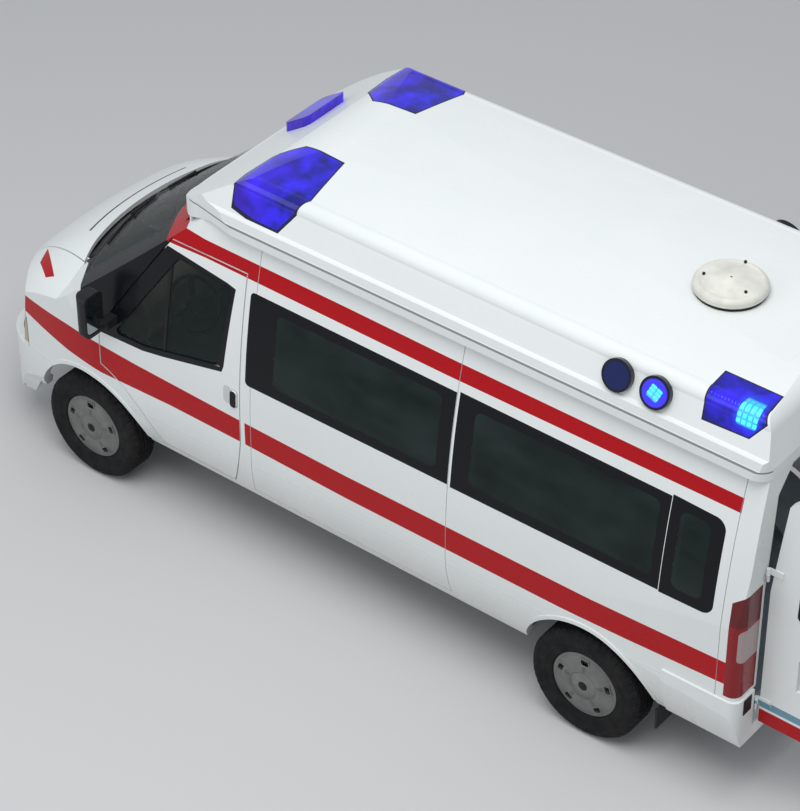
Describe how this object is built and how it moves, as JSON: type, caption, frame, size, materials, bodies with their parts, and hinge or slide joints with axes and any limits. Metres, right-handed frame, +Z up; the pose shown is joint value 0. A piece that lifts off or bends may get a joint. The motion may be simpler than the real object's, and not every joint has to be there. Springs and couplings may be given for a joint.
{
  "type": "high-roof van ambulance",
  "caption": "Long-wheelbase high-roof van ambulance with open rear doors, raised roof with corner beacons, and a hollow cab and patient room.",
  "frame": {"origin": "on the ground, halfway along and across the vehicle with its rear doors open", "axes": "+X forward, +Y to the vehicle's left, +Z up"},
  "size_m": [6.4703, 2.3946, 2.719],
  "materials": {
    "white_paint": "gloss",
    "roof_shell": "gloss",
    "bumper_white": "satin",
    "clear_glass": "gloss",
    "dark_glass": "gloss",
    "black_plastic": "satin",
    "headlamp_lens": "gloss",
    "tail_lens": "gloss",
    "blue_lens": "gloss",
    "tyre_rubber": "matte",
    "wheel_silver": "satin",
    "chassis_black": "satin",
    "hinge_steel": "satin",
    "engine_iron": "matte",
    "floor_vinyl": "satin",
    "cab_trim": "matte",
    "seat_cloth": "matte"
  },
  "bodies": {
    "body": {"cab_frame": "white_paint", "windscreen": "clear_glass", "side_panel_left": "white_paint", "panel_glass_left": "dark_glass", "sliding_door": "white_paint", "sliding_door_glass": "dark_glass", "rear_frame": "white_paint", "tail_lamps": "tail_lens", "rear_door_hinges": "hinge_steel", "rear_bumper": "bumper_white", "front_bumper": "bumper_white", "grille": "black_plastic", "raised_roof": "roof_shell", "roof_lamps": "blue_lens", "side_lamps": "blue_lens", "roof_vent": "roof_shell", "floor": "floor_vinyl", "chassis": "chassis_black", "rear_axle": "chassis_black", "front_subframe": "chassis_black", "engine": "engine_iron", "dashboard": "cab_trim", "seat_plinths": "cab_trim", "seat_cushions": "seat_cloth", "seat_backs": "seat_cloth", "bulkhead": "cab_trim", "body_side_left": "white_paint", "side_glass_left": "dark_glass", "wing_left": "white_paint", "headlamp_left": "headlamp_lens", "body_side_right": "white_paint", "side_glass_right": "dark_glass", "wing_right": "white_paint", "headlamp_right": "headlamp_lens"},
    "bonnet": {"bonnet": "white_paint"},
    "steering_wheel": {"steering_wheel": "black_plastic"},
    "front_door_left": {"front_door_left": "white_paint", "front_door_glass_left": "clear_glass", "door_mirror_left": "black_plastic"},
    "rear_door_left": {"rear_door_left": "white_paint", "rear_door_glass_left": "dark_glass"},
    "steering_knuckle_left": {"knuckle_left": "chassis_black"},
    "front_wheel_left": {"front_tyre_left": "tyre_rubber", "front_wheel_left": "wheel_silver"},
    "rear_wheel_left": {"rear_tyre_left": "tyre_rubber", "rear_wheel_left": "wheel_silver"},
    "front_door_right": {"front_door_right": "white_paint", "front_door_glass_right": "clear_glass", "door_mirror_right": "black_plastic"},
    "rear_door_right": {"rear_door_right": "white_paint", "rear_door_glass_right": "dark_glass"},
    "steering_knuckle_right": {"knuckle_right": "chassis_black"},
    "front_wheel_right": {"front_tyre_right": "tyre_rubber", "front_wheel_right": "wheel_silver"},
    "rear_wheel_right": {"rear_tyre_right": "tyre_rubber", "rear_wheel_right": "wheel_silver"}
  },
  "joints": [
    {"name": "steer_left", "type": "hinge", "parent": "body", "child": "steering_knuckle_left", "pos_m": [2.3025, 0.76, 0.245], "axis": [0, -0.1994, 0.9799], "range_deg": [-35, 35]},
    {"name": "front_wheel_spin_left", "type": "hinge", "parent": "steering_knuckle_left", "child": "front_wheel_left", "pos_m": [2.3025, 0.868, 0.3645], "axis": [0, 1, 0], "continuous": true},
    {"name": "rear_wheel_spin_left", "type": "hinge", "parent": "body", "child": "rear_wheel_left", "pos_m": [-1.4475, 0.868, 0.3645], "axis": [0, 1, 0], "continuous": true},
    {"name": "front_door_swing_left", "type": "hinge", "parent": "body", "child": "front_door_left", "pos_m": [2.1185, 0.975, 1.2], "axis": [0, 0, -1], "range_deg": [0, 66]},
    {"name": "rear_door_swing_left", "type": "hinge", "parent": "body", "child": "rear_door_left", "pos_m": [-2.4525, 0.787, 1.2], "axis": [0, 0, -1], "range_deg": [-90, 90]},
    {"name": "steer_right", "type": "hinge", "parent": "body", "child": "steering_knuckle_right", "pos_m": [2.3025, -0.76, 0.245], "axis": [0, 0.1994, 0.9799], "range_deg": [-35, 35]},
    {"name": "front_wheel_spin_right", "type": "hinge", "parent": "steering_knuckle_right", "child": "front_wheel_right", "pos_m": [2.3025, -0.868, 0.3645], "axis": [0, 1, 0], "continuous": true},
    {"name": "rear_wheel_spin_right", "type": "hinge", "parent": "body", "child": "rear_wheel_right", "pos_m": [-1.4475, -0.868, 0.3645], "axis": [0, 1, 0], "continuous": true},
    {"name": "front_door_swing_right", "type": "hinge", "parent": "body", "child": "front_door_right", "pos_m": [2.1185, -0.975, 1.2], "axis": [0, 0, 1], "range_deg": [0, 66]},
    {"name": "rear_door_swing_right", "type": "hinge", "parent": "body", "child": "rear_door_right", "pos_m": [-2.4525, -0.787, 1.2], "axis": [0, 0, 1], "range_deg": [-90, 90]},
    {"name": "bonnet_lift", "type": "hinge", "parent": "body", "child": "bonnet", "pos_m": [2.4675, 0, 1.385], "axis": [0, -1, 0], "range_deg": [0, 50]},
    {"name": "steering_wheel_turn", "type": "hinge", "parent": "body", "child": "steering_wheel", "pos_m": [1.9075, 0.4, 1.16], "axis": [-0.788, 0, 0.6157], "range_deg": [-525, 525]}
  ],
  "couplings": [
    {"joint": "steer_right", "follows": "steer_left", "ratio": 1},
    {"joint": "steering_wheel_turn", "follows": "steer_left", "ratio": 15}
  ]
}
